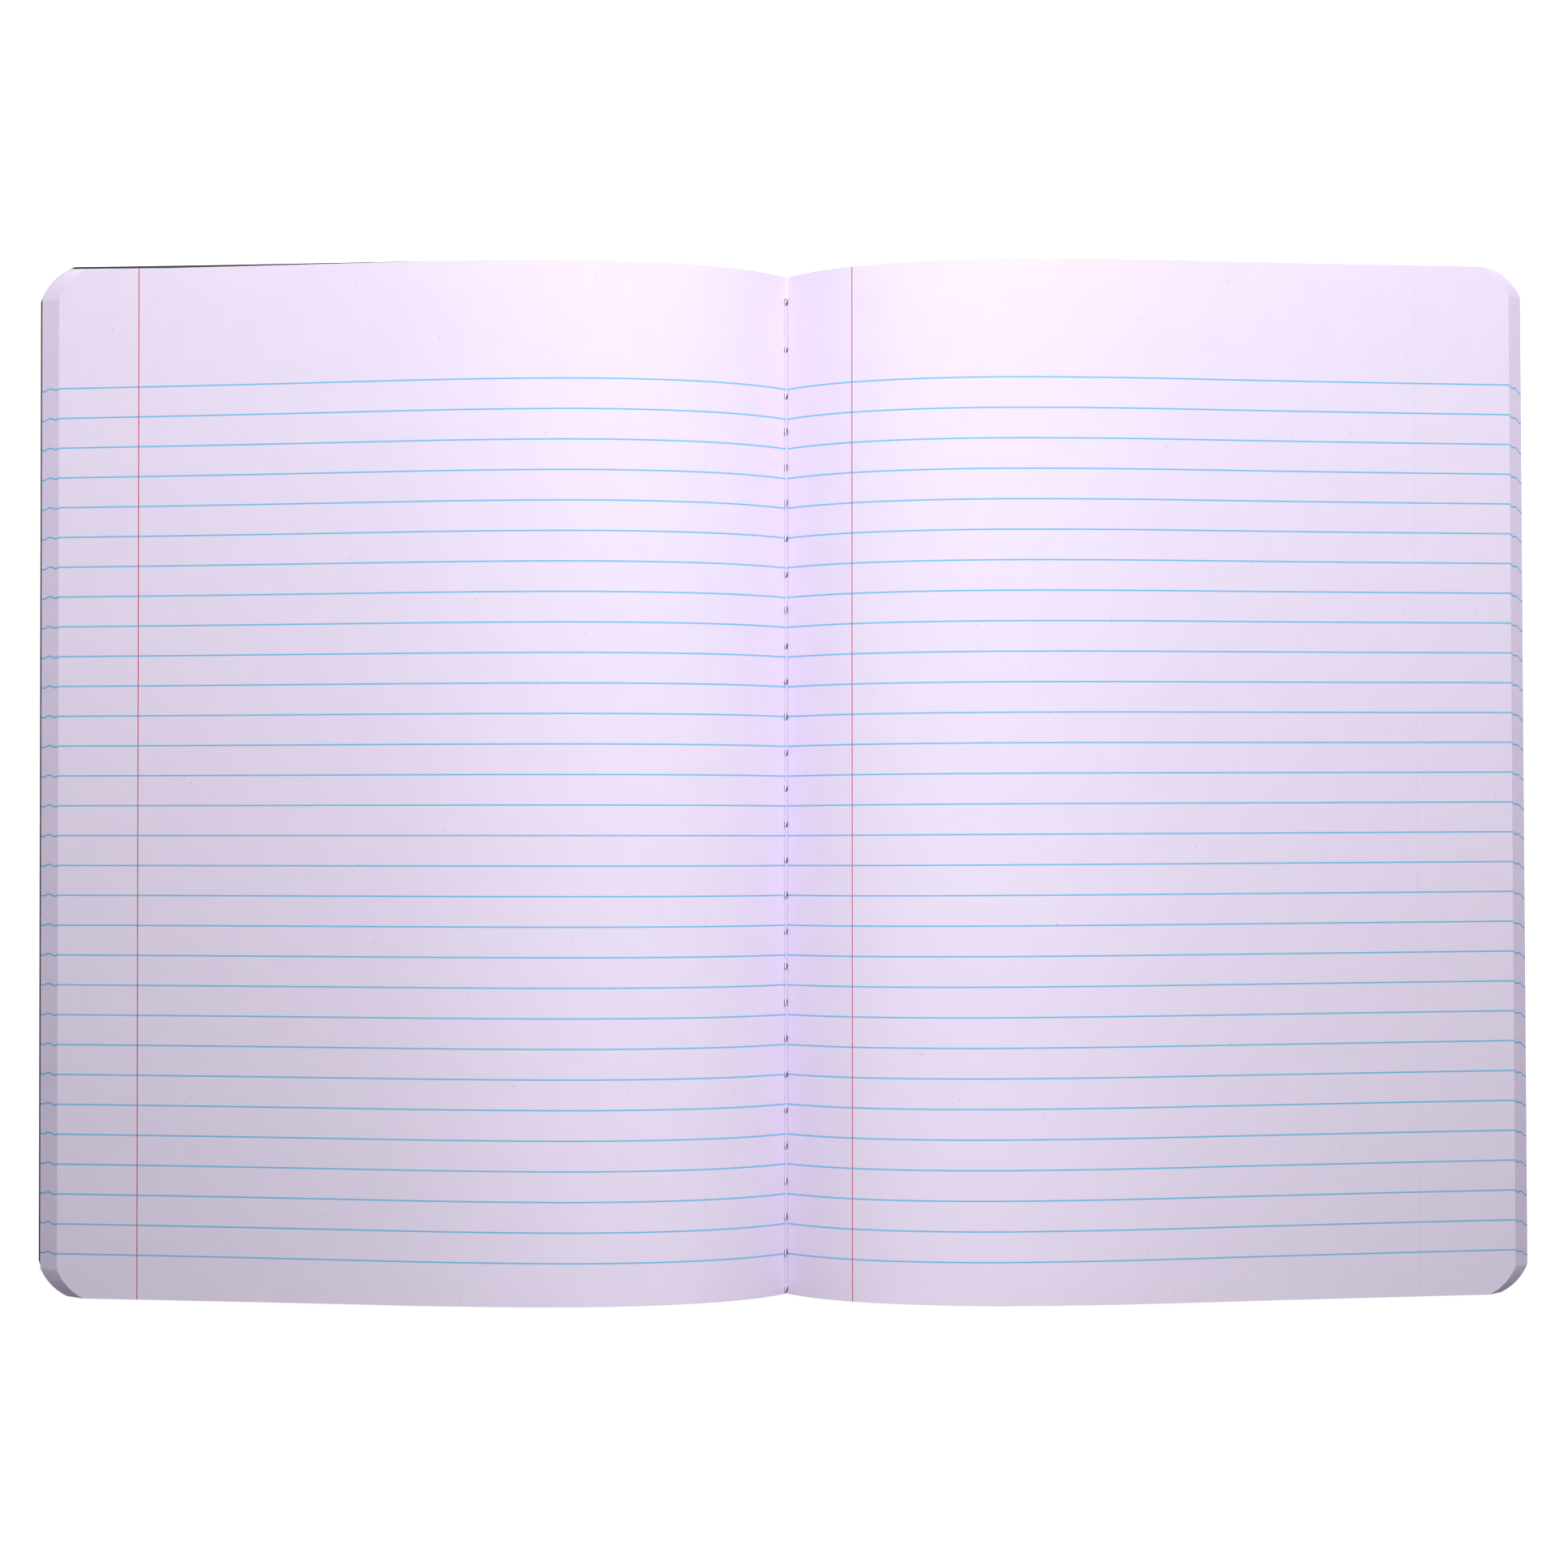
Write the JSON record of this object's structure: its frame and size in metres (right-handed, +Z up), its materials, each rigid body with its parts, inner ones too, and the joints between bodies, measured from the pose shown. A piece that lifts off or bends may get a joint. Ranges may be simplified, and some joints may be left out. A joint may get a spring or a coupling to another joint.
{
  "type": "open composition notebook",
  "caption": "Sewn composition notebook lying open at its middle, with ruled pages bowing up from the fold, black boards and a cloth spine tape.",
  "frame": {"origin": "middle of the spine tape's flat underside, where the notebook rests on the table", "axes": "+X from the fold across the right-hand page, +Y to the head of the pages, +Z up out of the opening"},
  "size_m": [0.3585, 0.2465, 0.0318],
  "materials": {
    "paper": "matte",
    "cover_board": "satin",
    "tape_cloth": "matte",
    "sewing_thread": "matte"
  },
  "bodies": {
    "page_block": {"pages": "paper", "inner_thread": "sewing_thread", "outer_thread": "sewing_thread", "spine_tape": "tape_cloth"},
    "front_cover": {"front_cover": "cover_board"},
    "back_cover": {"back_cover": "cover_board"}
  },
  "joints": [
    {"name": "front_cover_hinge", "type": "hinge", "parent": "page_block", "child": "front_cover", "pos_m": [-0.00562, 0, 0.00266], "axis": [0, -1, 0], "range_deg": [0, 90], "deforming": ["spine_tape"]},
    {"name": "back_cover_hinge", "type": "hinge", "parent": "page_block", "child": "back_cover", "pos_m": [0.00562, 0, 0.00265], "axis": [0, 1, 0], "range_deg": [0, 90], "deforming": ["spine_tape"]}
  ]
}
